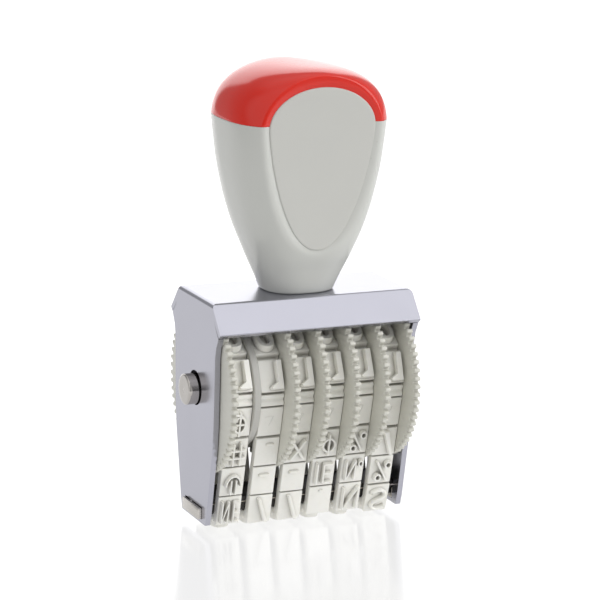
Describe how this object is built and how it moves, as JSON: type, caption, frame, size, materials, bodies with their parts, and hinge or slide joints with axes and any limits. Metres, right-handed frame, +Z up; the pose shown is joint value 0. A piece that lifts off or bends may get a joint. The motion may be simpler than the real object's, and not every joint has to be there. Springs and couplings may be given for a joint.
{
  "type": "numbering machine",
  "caption": "Hand numbering stamp: pear-shaped grip on a folded steel yoke, thumb wheels on an axle, each driving a rubber character band round a foot.",
  "frame": {"origin": "centre of the footprint at the level of the printing face, on which the stamp stands", "axes": "+X along the axle to the right seen from the front, +Y to the rear, +Z up along the grip"},
  "size_m": [0.0642, 0.0464, 0.1256],
  "materials": {
    "frame_steel": "satin nickel plate with a fine grain",
    "axle_steel": "bright turned and nickel plated",
    "tie_steel": "nickel plated",
    "fastener_steel": "zinc plated",
    "wire_steel": "bright drawn",
    "grip_plastic": "semi-gloss moulded, warm grey",
    "cap_plastic": "glossy moulded red",
    "label_plastic": "satin moulded grey",
    "wheel_plastic": "satin moulded grey",
    "spacer_plastic": "satin moulded grey",
    "band_rubber": "matt off-white moulded rubber",
    "foot_plastic": "black moulded"
  },
  "bodies": {
    "root": {"frame": "frame_steel", "axle": "axle_steel", "axle_washers": "fastener_steel", "spacer_disc": "spacer_plastic", "foot_bar": "foot_plastic", "foot_wires": "wire_steel", "foot_tie_bar": "tie_steel", "handle_shell": "grip_plastic", "handle_cap": "cap_plastic", "front_label_plate": "label_plastic", "rear_label_plate": "label_plastic", "handle_bolt": "fastener_steel", "handle_washer": "fastener_steel", "handle_nut": "fastener_steel", "number_band_1": "band_rubber", "number_band_2": "band_rubber", "number_band_3": "band_rubber", "number_band_4": "band_rubber", "number_band_5": "band_rubber", "number_band_6": "band_rubber"},
    "wheel_1": {"number_wheel_1": "wheel_plastic"},
    "wheel_2": {"number_wheel_2": "wheel_plastic"},
    "wheel_3": {"number_wheel_3": "wheel_plastic"},
    "wheel_4": {"number_wheel_4": "wheel_plastic"},
    "wheel_5": {"number_wheel_5": "wheel_plastic"},
    "wheel_6": {"number_wheel_6": "wheel_plastic"}
  },
  "joints": [
    {"name": "wheel_1_turn", "type": "hinge", "parent": "root", "child": "wheel_1", "pos_m": [0, 0, 0.03865], "axis": [1, 0, 0], "continuous": true},
    {"name": "wheel_2_turn", "type": "hinge", "parent": "root", "child": "wheel_2", "pos_m": [0, 0, 0.03865], "axis": [1, 0, 0], "continuous": true},
    {"name": "wheel_3_turn", "type": "hinge", "parent": "root", "child": "wheel_3", "pos_m": [0, 0, 0.03865], "axis": [1, 0, 0], "continuous": true},
    {"name": "wheel_4_turn", "type": "hinge", "parent": "root", "child": "wheel_4", "pos_m": [0, 0, 0.03865], "axis": [1, 0, 0], "continuous": true},
    {"name": "wheel_5_turn", "type": "hinge", "parent": "root", "child": "wheel_5", "pos_m": [0, 0, 0.03865], "axis": [1, 0, 0], "continuous": true},
    {"name": "wheel_6_turn", "type": "hinge", "parent": "root", "child": "wheel_6", "pos_m": [0, 0, 0.03865], "axis": [1, 0, 0], "continuous": true}
  ]
}
